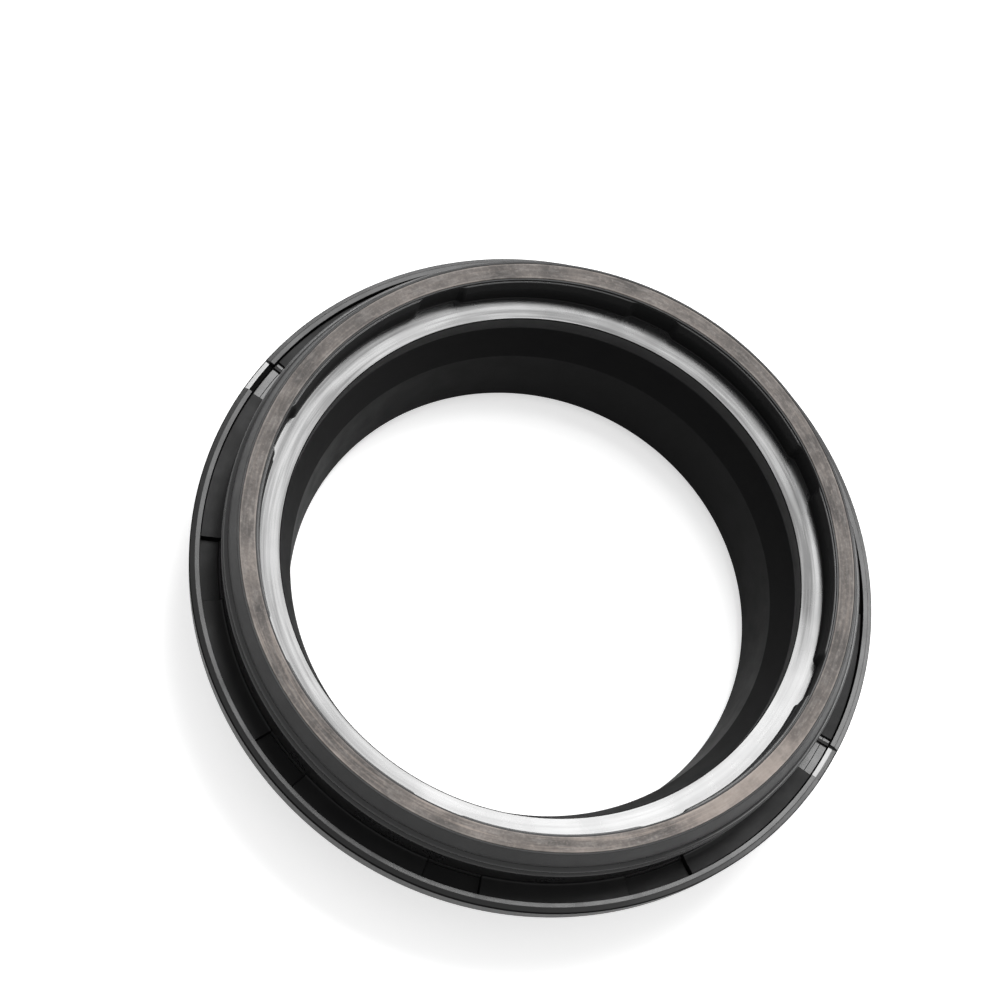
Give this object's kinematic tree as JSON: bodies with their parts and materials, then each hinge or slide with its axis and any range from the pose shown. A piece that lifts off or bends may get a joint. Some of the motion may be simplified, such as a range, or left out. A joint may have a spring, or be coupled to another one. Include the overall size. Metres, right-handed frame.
{
  "type": "hydraulic wiper seal",
  "caption": "Round flanged wiper seal: black rubber moulded over a pressed steel case, with sealing beads outside, wiper lips inside and a garter spring, to keep dirt off a sliding tube.",
  "frame": {"origin": "on the seal's axis, in the plane of the flat end face on the wiper side, which the part stands on", "axes": "+Z along the axis from the wiper end to the press-in end, X through the two opposite pry notches"},
  "size_m": [0.0578, 0.0578, 0.015],
  "materials": {
    "black_rubber": "moulded black rubber, glossy on the flat inner floor and satin elsewhere",
    "pressed_steel": "brown-grey phosphated steel, worn lighter on the exposed end edge",
    "spring_steel": "plain drawn spring wire"
  },
  "bodies": {
    "root": {"rubber_body": "black_rubber", "steel_case": "pressed_steel", "garter_spring": "spring_steel"}
  },
  "joints": []
}
